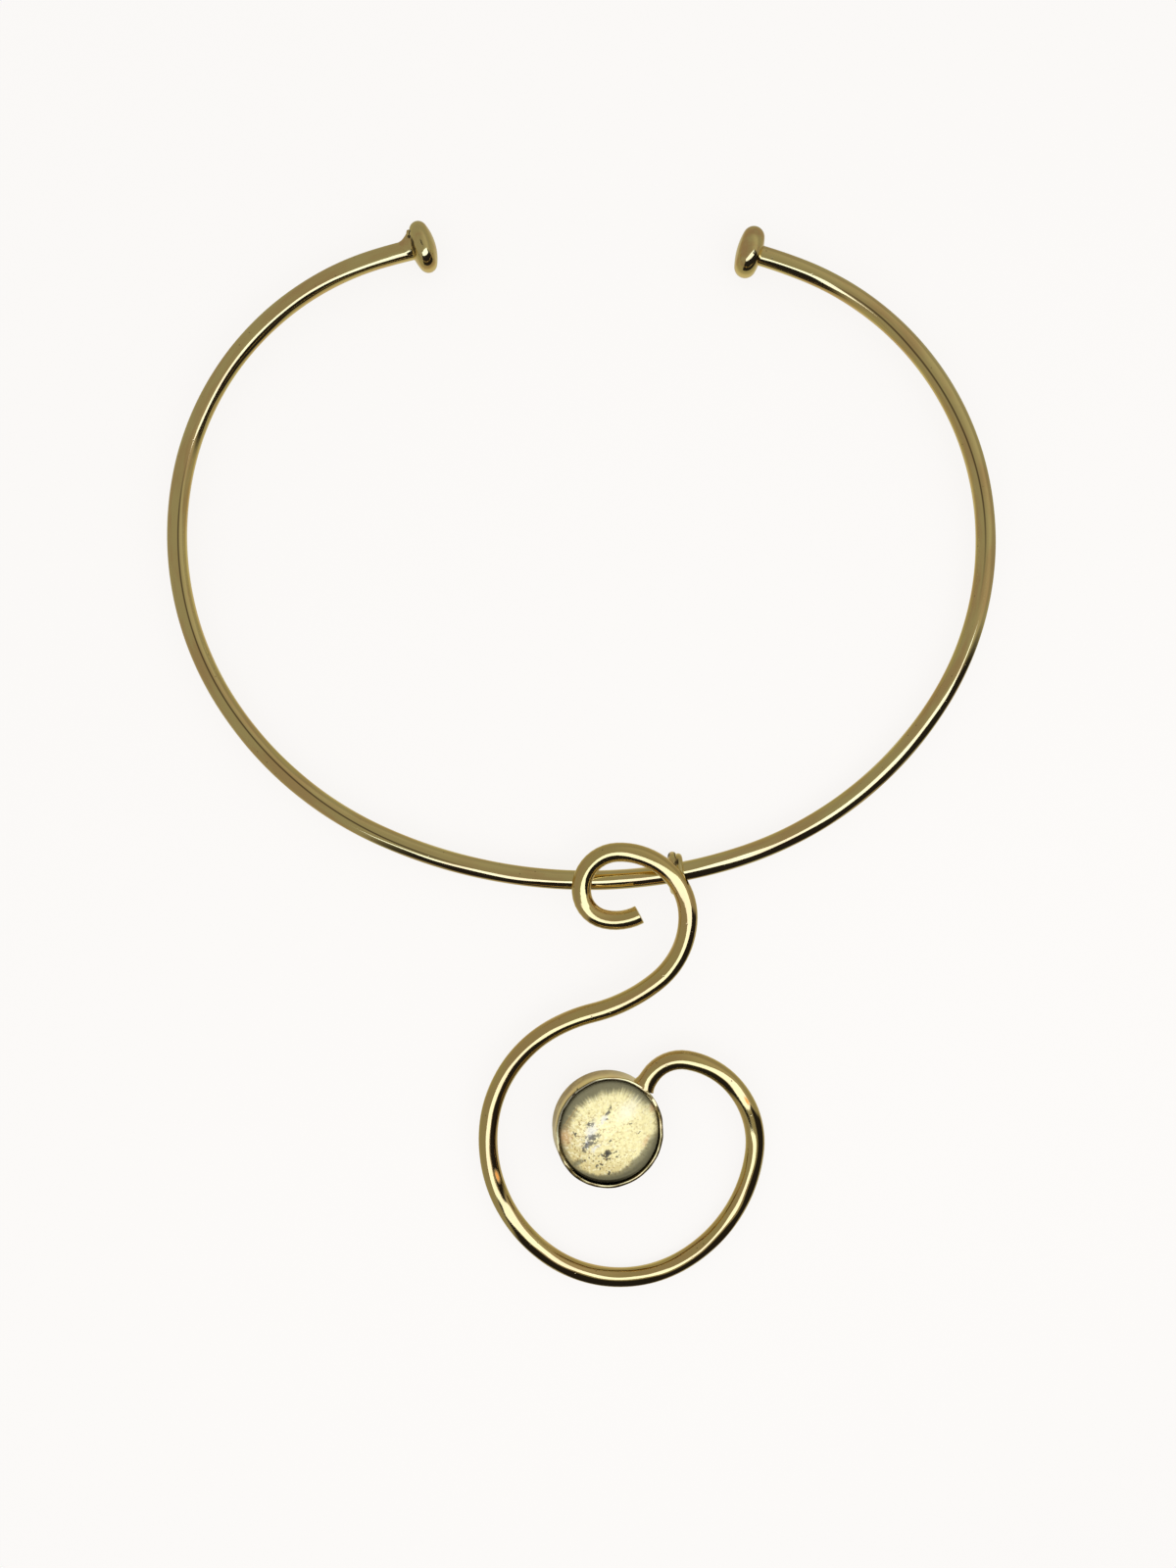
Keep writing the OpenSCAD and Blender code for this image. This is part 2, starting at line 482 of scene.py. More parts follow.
@dataclass(frozen=True)
class CupFinish(BrassFinish):
    """Brass of the cup, whose wall is darker brown below its rim on the upper left, with painted shade inside
    the rim by the stone.
    """

    middle: tuple[float, float] = (4.45, -60.15)
    wall_brown: Colour = (0.33, 0.22, 0.07)
    wall_from: float = 8.72
    wall_fade: float = 0.12
    inside: float = 8.36
    inside_fade: float = 0.05
    crevice_shade_from: float = 3.0
    crevice_shade_fade: float = 0.5

    def tone(self, graph: Graph, place: Signal, colour: Signal) -> Signal:
        """Darken the wall to brown on its upper left, and paint the shade inside the rim by the stone,
        darkest on the upper left.
        """
        centred = graph.vector("SUBTRACT", place, (*self.middle, 0.0))
        x, y, height = graph.split(centred)
        reach = graph.math("SQRT", x * x + y * y)
        blotch = graph.grain(place, (0.5, 0.5, 0.5), 3.0, 31.0).over(0.35, 0.6)
        left = ((y * 0.5 - x * 0.85) / reach).over(-0.45, 0.1)
        # the wall is darker brown on its upper left
        wall = reach.over(self.wall_from - self.wall_fade, self.wall_from + self.wall_fade)
        wall = wall * (blotch * 0.35 + 0.65) * left
        upper_left = ((y * 0.85 - x * 0.5) / reach).over(-0.2, 0.75)
        # painted shade inside the rim, between the rim and the stone
        inner = (reach - blotch * 0.06).over(self.inside + self.inside_fade, self.inside - self.inside_fade)
        deep = height.over(self.crevice_shade_from, self.crevice_shade_from + self.crevice_shade_fade)
        crevice_shade = inner * deep * (upper_left * 0.8 + 0.05)
        return graph.coats(colour, (wall, self.wall_brown), (crevice_shade, self.grime_and_shade))


@dataclass(frozen=True)
class SeamFinish:
    """The crumbled bottom of an open solder seam, painted black as the shade inside it."""

    name: str = "open_seam"
    crevice_shade: Colour = (0.012, 0.010, 0.008)
    crumb: Colour = (0.20, 0.15, 0.07)
    pitch: float = 5.0
    depth: float = 0.2

    def make(self) -> bpy.types.Material:
        """Make the material."""
        graph = Graph(self.name)
        crumbs = graph.grain(graph.place_in_mm(), (self.pitch,) * 3, 4.0)
        # painted shade: black at the bottom of the seam, with paler solder crumbs
        colour = graph.blend(crumbs.over(0.55, 0.75), self.crevice_shade, self.crumb)
        relief = graph.relief(crumbs * self.depth)
        return graph.surface({"Base Color": colour, "Metallic": 0.4, "Roughness": 0.6, "Normal": relief})


@dataclass(frozen=True)
class StoneFinish:
    """Clear stone over gold: a pale oval between two grey-green crescents, with veils, a crack and specks.
    The pale oval is painted reflected light, the crescents are painted dark reflections, and the dark ring at
    the rim is painted shade.
    """

    name: str = "gold_backed_stone"
    middle: tuple[float, float] = (4.5, -60.2)
    radius: float = 8.4
    roughness: float = 0.14
    ior: float = 1.5
    tint: Colour = (1.0, 0.90, 0.68)
    # pale gold of the painted reflected light
    bright: Colour = (0.96, 0.88, 0.48)
    soft_gold: Colour = (0.72, 0.61, 0.29)
    glitter: Colour = (1.0, 0.96, 0.66)
    amber: Colour = (0.40, 0.27, 0.11)
    # colour of the painted shade towards the rim
    edge: Colour = (0.23, 0.195, 0.095)
    # grey-green of the painted dark reflections in the two crescents
    upper: Colour = (0.18, 0.168, 0.10)
    lower: Colour = (0.135, 0.128, 0.078)
    ink: Colour = (0.045, 0.045, 0.045)
    shadow: Colour = (0.004, 0.003, 0.002)
    veil: Colour = (0.80, 0.82, 0.84)
    blush: Colour = (0.72, 0.42, 0.22)
    milk: Colour = (0.96, 0.95, 0.80)
    pale: Mark = Mark(-0.04, -0.02, 1.92, 1.54, 35.0)
    wedge: Mark = Mark(-0.6, -0.6, 0.3, 0.13, 38.0, 0.9)
    haze: Mark = Mark(0.36, 0.42, 0.62, 0.4, 40.0, 1.2)
    dusty: Mark = Mark(-0.3, -0.4, 1.0, 0.9, 0.0, 1.0)
    specks: tuple[Mark, ...] = (
        Mark(0.01, -0.13, 0.05, 0.06), Mark(0.41, 0.2, 0.045, 0.04), Mark(0.57, -0.04, 0.035, 0.035),
        Mark(-0.65, -0.02, 0.05, 0.1, 30.0), Mark(0.02, -0.38, 0.14, 0.07, 20.0),
        Mark(-0.04, -0.42, 0.16, 0.08, 70.0), Mark(-0.02, -0.53, 0.06, 0.09, 10.0),
        Mark(-0.15, -0.62, 0.06, 0.05), Mark(-0.18, -0.72, 0.05, 0.06), Mark(0.0, -0.82, 0.05, 0.12),
        Mark(-0.47, -0.58, 0.05, 0.05), Mark(0.12, -0.36, 0.06, 0.05), Mark(-0.1, -0.52, 0.05, 0.04),
        Mark(-0.22, -0.66, 0.04, 0.04), Mark(0.16, -0.46, 0.035, 0.035), Mark(-0.3, -0.45, 0.045, 0.035),
    )
    patches: tuple[Mark, ...] = (
        Mark(-0.02, 0.4, 0.27, 0.08, 68.0), Mark(-0.36, -0.13, 0.34, 0.23, 20.0),
        Mark(-0.47, -0.24, 0.28, 0.13, 75.0), Mark(-0.37, 0.18, 0.17, 0.11, 30.0),
        Mark(-0.24, -0.06, 0.18, 0.11, 60.0), Mark(-0.07, -0.4, 0.24, 0.11, 35.0),
    )
    veils: tuple[Mark, ...] = (
        Mark(-0.34, 0.06, 0.46, 0.22, 68.0, 1.1), Mark(-0.43, -0.2, 0.24, 0.09, 80.0, 1.0),
        Mark(-0.11, 0.27, 0.3, 0.1, 60.0, 1.0), Mark(-0.28, -0.3, 0.26, 0.1, 30.0, 1.0),
    )
    blushes: tuple[Mark, ...] = (
        Mark(-0.84, -0.1, 0.36, 0.3, 80.0, 1.0), Mark(0.84, 0.41, 0.22, 0.14, 70.0, 1.0),
        Mark(0.7, -0.22, 0.3, 0.12, 60.0, 1.0),
    )

    def make(self) -> bpy.types.Material:
        """Make the material."""
        graph = Graph(self.name)
        spot = self._spot(graph)
        x, y, _ = graph.split(spot)
        reach = graph.vector("LENGTH", spot, output=1)
        streak = graph.grain(graph.vector("NORMALIZE", spot), (16.0, 16.0, 0.0), 4.0) - 0.5
        cloud = graph.grain(spot, (3.0, 3.0, 0.0), 4.0, 2.0)
        fine = graph.grain(spot, (14.0, 14.0, 0.0), 3.0, 6.0)
        colour = self._gold(graph, spot, cloud, fine)
        # painted shade: darker towards the rim
        colour = graph.blend((reach + (fine - 0.5) * 0.10).over(0.85, 0.95) * 0.8, colour, self.edge)
        colour = self._painted_crescents(graph, spot, streak, cloud, colour)
        colour = self._inclusions(graph, spot, fine, colour)
        # painted shadow: a dark line just inside the rim, darkest on the lower left
        shaded = (x * -0.85 - y * 0.45).over(-0.25, 0.45) * 0.75 + 0.15
        colour = graph.blend(reach.over(0.960, 0.995) * shaded, colour, self.shadow)
        relief = graph.relief(cloud * 0.02 + fine * 0.006)
        polish = {"Roughness": self.roughness, "IOR": self.ior, "Specular Tint": self.tint}
        return graph.surface({"Base Color": colour, "Normal": relief, **polish})

    def _spot(self, graph: Graph) -> Signal:
        """Give the place on the stone from its middle, flat, with the rim at 1."""
        centred = graph.vector("SUBTRACT", graph.place_in_mm(), (*self.middle, 0.0))
        return graph.vector("MULTIPLY", centred, (1.0 / self.radius, 1.0 / self.radius, 0.0))

    def _gold(self, graph: Graph, spot: Signal, cloud: Signal, fine: Signal) -> Signal:
        """Give the gold floor, with painted reflected light palest on the upper right, and darker amber on
        the left.
        """
        x, y, _ = graph.split(spot)
        # painted reflected light: the pale zone
        pale = (x * 0.5 + y * 0.75 + (cloud - 0.5) * 1.1).over(-0.75, 0.0)
        # the gold is darker amber towards the left
        left = (x * -1.0 + (cloud - 0.5) * 0.7 + (fine - 0.5) * 0.5).over(0.60, 0.90)
        corner = (x * -0.7 - y * 0.7).over(-0.3, 0.6)
        crumbs = graph.grain(spot, (22.0, 22.0, 0.0), 3.0, 17.0).over(0.54, 0.61)
        crumbs = crumbs * graph.grain(spot, (5.0, 5.0, 0.0), 2.0, 3.0).over(0.36, 0.55)
        glitter = graph.grain(spot, (20.0, 20.0, 0.0), 3.0, 41.0)
        return graph.coats(
            self.soft_gold,
            (pale, self.bright),
            (left * 0.85, self.amber),
            (fine.over(0.47, 0.62) * (0.50 + corner * 0.40), self.soft_gold),
            (crumbs * (0.48 + corner * 0.5), self.amber),
            (glitter.over(0.54, 0.62) * 0.55, self.glitter),
        )

    def _painted_crescents(self, graph: Graph, spot: Signal, streak: Signal, cloud: Signal, colour: Signal) -> Signal:
        """Add the painted dark reflections: grey-green crescents above and below the pale oval, with streaks
        towards the middle.
        """
        x, y, _ = graph.split(spot)
        outside = graph.oval(spot, self.pale) + (cloud - 0.5) * 0.16
        # painted dark reflections: the crescents above and below the pale oval
        above = (outside + streak * 0.30).over(0.80, 1.02) * (y - x * 0.25).over(0.08, 0.42)
        below = (outside + streak * 0.16).over(0.93, 1.03) * (x * 0.3 - y).over(0.20, 0.50)
        return graph.coats(
            colour,
            (above * 0.95, self.upper),
            (below * (0.76 + outside.over(1.0, 1.25) * 0.20), self.lower),
            (graph.spot(spot, self.wedge) * 0.75, self.lower),
        )

    def _inclusions(self, graph: Graph, spot: Signal, fine: Signal, colour: Signal) -> Signal:
        """Add the whitish veils, grey patches, blushes, dark specks and the crack."""
        x, y, _ = graph.split(spot)
        ragged = graph.ragged(spot, 11.0, 0.22)
        patches = graph.spots(ragged, self.patches) * fine.over(0.40, 0.52)
        dust = graph.flecks(spot, 9.0, 4.0).over(0.20, 0.08) * graph.spot(spot, self.dusty)
        dark = graph.math("MAXIMUM", graph.spots(ragged, self.specks), dust)
        crack = graph.math("ABSOLUTE", y - x * 1.40 - 1.33 + (fine - 0.5) * 0.06).over(0.030, 0.008)
        crack = crack * x.over(-0.9, -0.85) * x.over(-0.58, -0.64)
        return graph.coats(
            colour,
            (graph.spots(spot, self.blushes) * 0.4, self.blush),
            (graph.spot(spot, self.haze) * 0.45, self.milk),
            (graph.spots(ragged, self.veils) * 0.62, self.veil),
            (patches * 0.82, self.ink),
            (dark * 0.85, self.ink),
            (crack * 0.6, self.amber),
        )


def stand(name: str, shape: Shape, finish: bpy.types.Material) -> bpy.types.Object:
    """Turn a shape in metres into an object of the scene.

    Args:
        name: The object's name.
        shape: Its shape, which is used up.
        finish: Its material.

    Returns:
        The object.
    """
    mesh = bpy.data.meshes.new(name)
    shape.to_mesh(mesh)
    shape.free()
    mesh.materials.append(finish)
    stood = bpy.data.objects.new(name, mesh)
    bpy.context.scene.collection.objects.link(stood)
    return stood


def finish_piece(
    name: str,
    metal: Shape,
    place: Matrix,
    finish: bpy.types.Material,
    body: str,
) -> bpy.types.Object:
    """Put a shape made in millimetres in its place as a piece in metres.

    Args:
        name: The piece's name.
        metal: Its shape, which is used up.
        place: Its place, in millimetres.
        finish: Its material.
        body: The body that it rides on.

    Returns:
        The piece.
    """
    flats = [face for face in metal.faces if len(face.verts) > FLAT_SIDES]
    bmesh.ops.inset_individual(metal, faces=flats, thickness=FLAT_BORDER, use_even_offset=True)
    bmesh.ops.transform(metal, matrix=Matrix.Scale(MM, 4) @ place, verts=metal.verts)
    bmesh.ops.recalc_face_normals(metal, faces=metal.faces)
    piece = stand(name, metal, finish)
    piece.data.shade_smooth()
    piece.data.set_sharp_from_angle(angle=math.radians(CREASE))
    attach(piece, body)
    log.info("%s: %d faces", name, len(piece.data.polygons))
    return piece


def points_of(parts: Iterable[object]) -> list[Point]:
    """Give the points among the parts of a shape."""
    return [part for part in parts if isinstance(part, Point)]


def ring_edges(ring: Sequence[Point]) -> list[Edge]:
    """Give the edges between the points of a ring."""
    points = set(ring)
    return list({edge for point in ring for edge in point.link_edges if set(edge.verts) <= points})


def circle(
    metal: Shape, sides: int, radius: float, at: Matrix = Matrix(), capped: bool = False
) -> list[Point]:
    """Draw a circle and give its points."""
    return bmesh.ops.create_circle(metal, cap_ends=capped, segments=sides, radius=radius, matrix=at)["verts"]


def extrude_ring(metal: Shape, ring: Sequence[Point], by: Sequence[float]) -> list[Point]:
    """Extrude a ring.

    Args:
        metal: The shape that it is part of.
        ring: Its points.
        by: How far and in which direction.

    Returns:
        The points of the new ring.
    """
    extruded = points_of(bmesh.ops.extrude_edge_only(metal, edges=ring_edges(ring))["geom"])
    bmesh.ops.translate(metal, vec=by, verts=extruded)
    return extruded


def grow(metal: Shape, ring: Sequence[Point], middle: Vector, share: Sequence[float]) -> None:
    """Scale a ring about its middle."""
    bmesh.ops.scale(metal, vec=share, space=Matrix.Translation(-middle), verts=list(ring))


def soften(metal: Shape, edges: Sequence[Edge], offset: float, segments: int) -> None:
    """Round edges off."""
    bmesh.ops.bevel(
        metal, geom=list(edges), offset=offset, segments=segments, profile=0.5, affect="EDGES", material=-1
    )


def swing(
    metal: Shape,
    profile: Sequence[Point],
    hub: Sequence[float],
    axis: Sequence[float],
    turn: float,
    steps: int,
    closed: bool = False,
) -> list[Point]:
    """Spin a profile about a hub.

    Args:
        metal: The shape that it is part of.
        profile: Its points.
        hub: A place on the axis.
        axis: The direction of the axis.
        turn: How far it turns, in degrees.
        steps: Its number of steps.
        closed: Whether the last profile is the first one again.

    Returns:
        The points of the last profile.
    """
    spun = bmesh.ops.spin(
        metal,
        geom=list(profile) + ring_edges(profile),
        cent=hub,
        axis=axis,
        angle=math.radians(turn),
        steps=steps,
        use_merge=closed,
    )
    return points_of(spun["geom_last"])


def turn_round(metal: Shape, profile: Sequence[Point], axis: Sequence[float], steps: int) -> None:
    """Spin a profile all the way round the origin and close its seam and poles."""
    swing(metal, profile, ORIGIN, axis, 360.0, steps, closed=True)
    bmesh.ops.remove_doubles(metal, verts=metal.verts, dist=TOUCHING)


def arc(metal: Shape, last: Point, hub: Sequence[float], turn: float, steps: int) -> Point:
    """Carry a profile on along an arc in the plane of X and Z and give its new last point."""
    return swing(metal, [last], hub, SIDEWAYS, turn, steps)[0]


def stretch_oval(metal: Shape, stretch: float) -> None:
    """Pull the two halves of a round shape apart along Y."""
    for side in (-1.0, 1.0):
        half = [point for point in metal.verts if point.co.y * side > 1e-6]
        bmesh.ops.translate(metal, vec=(0.0, side * stretch / 2, 0.0), verts=half)


@dataclass(frozen=True)
class DrawnWire:
    """Round wire bent in one plane, with a straight, flared end where one is given."""

    diameter: float
    start: Station
    bends: tuple[Bend, ...]
    seed: float
    sides: int = 40
    step: float = 0.9
    unevenness: float = 0.012
    uneven_pitch: float = 7.0
    cut_bevel: float = 0.0
    straight_end: float = 0.0
    end_flare: float = 1.0
    end_steps: int = 6

    def shape(self) -> Shape:
        """Draw the wire out along its bends.

        Returns:
            Its closed shape, flat on the plane of its bends.
        """
        metal = bmesh.new()
        run = metal.verts.layers.float_vector.new(WIRE_RUN)
        ring = circle(metal, self.sides, self.diameter / 2, self.start.frame @ FACING_X)
        cut = ring_edges(ring)
        along = 0.0
        self._note(ring, run, self.start, along)
        here = self.start
        for bend in self.bends:
            steps = max(1, round(bend.length / self.step))
            for count in range(1, steps + 1):
                ring = swing(metal, ring, here.hub(bend), UPWARDS, bend.turn / steps, 1)
                reached = here.after(bend, count / steps)
                before, along = along, along + bend.length / steps
                grow(metal, ring, reached.middle, (self._thickness(along) / self._thickness(before),) * 3)
                self._note(ring, run, reached, along)
            here = here.after(bend)
        if self.straight_end:
            ring = self._straighten(metal, ring, here, run, along)
        bmesh.ops.holes_fill(metal, edges=cut + ring_edges(ring), sides=0)
        if self.cut_bevel:
            soften(metal, cut, self.cut_bevel, 3)
        return metal

    def _thickness(self, along: float) -> float:
        """Give how thick the hand-worked wire is at a place, with 1 for its own thickness."""
        return 1.0 + swell(self.seed, along, self.uneven_pitch, self.unevenness)

    def _straighten(
        self, metal: Shape, ring: Sequence[Point], here: Station, run: bmesh.types.BMLayerItem, along: float
    ) -> Sequence[Point]:
        """Run the wire straight on to its end, wider where the solder has run up it."""
        before = 1.0
        for share in (count / self.end_steps for count in range(1, self.end_steps + 1)):
            ring = extrude_ring(metal, ring, here.ahead * self.straight_end / self.end_steps)
            reached = here.beyond(self.straight_end * share)
            now = 1.0 + (self.end_flare - 1.0) * share**3
            grow(metal, ring, reached.middle, (now / before,) * 3)
            self._note(ring, run, reached, along + self.straight_end * share)
            before = now
        return ring

    @staticmethod
    def _note(ring: Sequence[Point], run: bmesh.types.BMLayerItem, at: Station, along: float) -> None:
        """Write down where on the wire each point of a ring is."""
        for point in ring:
            point[run] = Vector(((point.co - at.middle).dot(at.across), point.co.z, along))


@dataclass(frozen=True)
class Button:
    """Flattened round end of the neck wire: two shallow domes and a rounded edge."""

    diameter: float
    edge: float
    front: float
    back: float
    steps: int = 96
    dome_steps: int = 14
    edge_steps: int = 20

    def shape(self) -> Shape:
        """Turn the button.

        Returns:
            Its shape, with the outer face towards +X.
        """
        metal = bmesh.new()
        rim = self.diameter / 2 - self.edge
        front_r, front_half = self._dome(rim, self.front)
        back_r, back_half = self._dome(rim, self.back)
        last = metal.verts.new((0.0, 0.0, self.front))
        last = arc(metal, last, (0.0, 0.0, self.front - front_r), front_half, self.dome_steps)
        last = arc(metal, last, (rim, 0.0, 0.0), 180.0 - front_half - back_half, self.edge_steps)
        arc(metal, last, (0.0, 0.0, back_r - self.back), back_half, self.dome_steps)
        turn_round(metal, list(metal.verts), UPWARDS, self.steps)
        bmesh.ops.transform(metal, matrix=FACING_X, verts=metal.verts)
        return metal

    def _dome(self, rim: float, height: float) -> tuple[float, float]:
        """Give the radius and half angle of the dome that runs smoothly into the edge."""
        radius = (rim * rim + height * height - self.edge * self.edge) / (2.0 * (height - self.edge))
        return radius, math.degrees(math.atan2(rim, radius - height))


@dataclass(frozen=True)
class SolderFlare:
    """The lopsided solder that has run up behind a button, with an open seam, and beads in the seam."""

    back: float = 3.2
    front: float = 1.22
    start: float = 0.23
    offset: float = 0.85
    thin: float = 1.58
    wide: float = 2.35
    curve: float = 1.6
    steps: int = 9
    sides: int = 64
    lip_offset: float = 0.45
    lip_share: tuple[float, float, float] = (1.0, 0.80, 0.84)
    seam_reach: float = 0.728
    seam_slant: float = 0.25
    bead_back: float = 1.20
    bead_reach: float = 0.6
    bead_seed: float = 4.0
    bead_unevenness: float = 0.3
    beads: tuple[tuple[float, float, float], ...] = (
        (2.80, 0.1, 0.44), (2.62, 1.05, 0.40), (-1.15, 1.15, 0.38), (1.2, -2.0, 0.5), (-0.9, -1.4, 0.4),
    )

    def shape(self) -> Shape:
        """Draw the solder out from the wire to the button, more of it on the outside of the ring.

        Returns:
            Its shape, with the button's middle at the origin and the outer face towards +X.
        """
        metal = bmesh.new()
        at = Matrix.Translation((-self.back, self.start, 0.0)) @ FACING_X
        ring = circle(metal, self.sides, self.thin, at, capped=True)
        length = self.back - self.front
        drift = self.offset - self.start
        before = 0.0
        for count in range(1, self.steps + 1):
            now = (count / self.steps) ** self.curve
            ring = extrude_ring(metal, ring, (length / self.steps, drift * (now - before), 0.0))
            middle = Vector((length * count / self.steps - self.back, self.start + drift * now, 0.0))
            share = self._radius(now) / self._radius(before)
            grow(metal, ring, middle, (1.0, share, share))
            before = now
        ring = extrude_ring(metal, ring, ORIGIN)
        grow(metal, ring, Vector((-self.front, self.offset + self.lip_offset, 0.0)), self.lip_share)
        ring = extrude_ring(metal, ring, (self.front - self.seam_reach, -self.seam_slant, 0.0))
        bmesh.ops.holes_fill(metal, edges=ring_edges(ring), sides=0)
        for middle, size in self._bead_places():
            bead = bmesh.ops.create_icosphere(
                metal, subdivisions=3, radius=size, matrix=Matrix.Translation(middle)
            )["verts"]
            for point in bead:
                along = point.co.y * 3.0 + point.co.z
                point.co += point.normal * swell(self.bead_seed, along, 1.0, size * self.bead_unevenness)
        return metal

    def _radius(self, share: float) -> float:
        """Give the solder's radius at a share of its spread."""
        return self.thin + (self.wide - self.thin) * share

    def _bead_places(self) -> list[tuple[Vector, float]]:
        """Give the middle and the size of each bead."""
        return [(Vector((-self.bead_back, across, up)), size) for across, up, size in self.beads]

    def blacken(self, mesh: bpy.types.Mesh, place: Matrix) -> None:
        """Paint the open seam between the solder and the button black, as the shade inside it.

        Args:
            mesh: The finished solder.
            place: Where its button is, in millimetres.
        """
        mesh.materials.append(SeamFinish().make())
        for face in mesh.polygons:
            spot = place.inverted() @ (face.center / MM)
            in_bead = any((spot - middle).length < self.bead_reach for middle, _ in self._bead_places())
            face.material_index = int(spot.x > -self.front - 0.01 and not in_bead)


@dataclass(frozen=True)
class NeckRing:
    """The open neck wire with its two buttons and the solder flare behind the left one."""

    wire_d: float = 3.2
    heading: float = 9.5
    left_bends: tuple[Bend, ...] = (
        Bend(82.5, -34.0), Bend(58.5, -32.5), Bend(50.5, -46.5), Bend(46.0, -60.0), Bend(100.0, -3.9),
    )
    right_bends: tuple[Bend, ...] = (
        Bend(77.0, 9.5), Bend(60.0, 40.0), Bend(49.0, 44.5), Bend(47.0, 55.0), Bend(90.0, 5.9),
    )
    left_button: Button = Button(8.2, 1.5, 2.05, 2.1)
    right_button: Button = Button(8.2, 1.8, 2.1, 2.1)
    button_shift: float = 0.2
    button_lead: float = 0.4
    button_tilt: float = 4.0
    flare: SolderFlare = SolderFlare()
    # dark chips and cracks on the buttons, and painted shade along the open seam behind the left one
    button_stains_and_seam_shade: tuple[Mark, ...] = (
        Mark(-25.6, 82.5, 1.3, 0.22, 112.0, 0.9), Mark(-27.75, 85.0, 0.55, 0.36, 110.0),
        Mark(-27.85, 84.15, 0.8, 0.42, 140.0), Mark(-27.1, 82.5, 2.7, 0.52, 105.0),
        Mark(-27.76, 81.2, 0.45, 0.16, 130.0), Mark(27.7, 81.0, 0.34, 0.3),
        Mark(28.97, 80.0, 1.3, 0.3, 75.0),
    )

    def build(self, bail: "Bail") -> None:
        """Build and dress the pieces of the neck ring.

        Args:
            bail: The bail, which gives the ring's place.
        """
        place = bail.neck_place(self)
        left_end = follow(Station(0.0, 0.0, 180.0 + self.heading), self.left_bends)
        right_end = follow(Station(0.0, 0.0, self.heading), self.right_bends)
        wire = DrawnWire(self.wire_d, left_end.about(), joined(self.left_bends, self.right_bends), seed=1.5)
        wire_brass = NeckWireFinish(
            "neck_wire_brass", Grain.WIRE,
            # a dark chip, and one painted highlight as a glint
            stains_and_shade=(Mark(30.94, 80.9, 0.3, 0.22, 40.0),), glints=(Mark(3.92, -15.4, 0.9, 0.35, -10.0),),
        ).make()
        brass = BrassFinish(
            "button_brass", Grain.PLACE, shift=5.0, ruddy_share=0.95, roughness=0.07, hammered=0.06,
            hammer_pitch=(0.3, 0.3, 0.3), mottle_pitch=(0.35, 0.35, 0.35),
            grime_and_shade=(0.08, 0.055, 0.03), stains_and_shade=self.button_stains_and_seam_shade,
        ).make()
        set_on = (
            place
            @ left_end.frame
            @ Matrix.Translation((self.button_shift, 0.0, 0.0))
            @ Matrix.Rotation(math.radians(self.button_tilt), 4, "Z")
        )
        ahead = set_on @ Matrix.Translation((self.button_lead, 0.0, 0.0))
        neck_wire = finish_piece("neck_wire", wire.shape(), place, wire_brass, NECK_BODY)
        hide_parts("neck_ring")
        finish_piece("left_button", self.left_button.shape(), ahead, brass, NECK_BODY)
        finish_piece("right_button", self.right_button.shape(), place @ right_end.frame, brass, NECK_BODY)
        solder = finish_piece("solder_flare", self.flare.shape(), set_on, brass, NECK_BODY)
        self.flare.blacken(solder.data, set_on)


@dataclass(frozen=True)
class Bail:
    """The small ring that carries the pendant on the neck wire, and the places that hang on it."""

    x: float = 14.76
    y: float = -18.9
    bore: float = 3.9
    band: float = 1.6
    strands: tuple[tuple[float, float, float], ...] = ((0.30, 1.50, 1.60), (1.25, 1.20, 1.25))
    sides: int = 24
    steps: int = 64
    # a dark nick, and painted shade on the bail's upper left with a thin painted shadow line on its right
    stains_and_shade: tuple[Mark, ...] = (
        Mark(15.4, -16.95, 1.2, 0.7, 65.0, 0.8), Mark(13.95, -16.0, 1.6, 0.8, 55.0, 0.8),
        Mark(15.2, -16.0, 1.3, 0.2, 100.0), Mark(14.0, -21.3, 1.2, 0.3, 96.0),
    )

    @property
    def height(self) -> float:
        """Give the height of the bail's middle over the surface."""
        return self.bore / 2 + self.band

    @property
    def middle(self) -> Matrix:
        """Give the place of the bail's middle."""
        return Matrix.Translation((self.x, self.y, self.height))

    def neck_place(self, neck: NeckRing) -> Matrix:
        """Give the place of the neck ring, which tilts a little up to the buttons that it stands on."""
        reach = follow(Station(0.0, 0.0, 180.0 + neck.heading), neck.left_bends).y
        tilt = math.asin((neck.left_button.diameter / 2 - self.height) / reach)
        return self.middle @ Matrix.Rotation(tilt, 4, "X")

    def pendant_place(self, neck: NeckRing, swirl: "Pendant") -> Matrix:
        """Give the place of the pendant, whose X is the axis that it swings on.

        Args:
            neck: The neck ring that it hangs on.
            swirl: The pendant, which leans down until the far side of its swirl touches the surface.

        Returns:
            The place, in millimetres.
        """
        turn = math.radians(neck.heading) - math.asin(swirl.curl_crossing / 2 / neck.left_bends[0].radius)
        reach = -min(here.y for here in swirl.path())
        drop = math.acos((swirl.wire_d / 2 - self.height) / math.hypot(reach, swirl.rise))
        lean = drop - math.atan2(reach, swirl.rise)
        return self.middle @ Matrix.Rotation(turn, 4, "Z") @ Matrix.Rotation(lean, 4, "X")

    def shape(self) -> Shape:
        """Turn the ring's two strands, which lie side by side with a groove between them.

        Returns:
            Its shape, with the axis along X.
        """
        metal = bmesh.new()
        half_side = Matrix.Rotation(math.radians(180.0 / self.sides), 4, "Z")
        for middle, width, thick in self.strands:
            section = circle(metal, self.sides, thick / 2, half_side)
            bmesh.ops.scale(metal, vec=(width / thick, 1.0, 1.0), verts=section)
            bmesh.ops.translate(metal, vec=(middle, (self.bore + thick) / 2, 0.0), verts=section)
            turn_round(metal, section, (1.0, 0.0, 0.0), self.steps)
        return metal


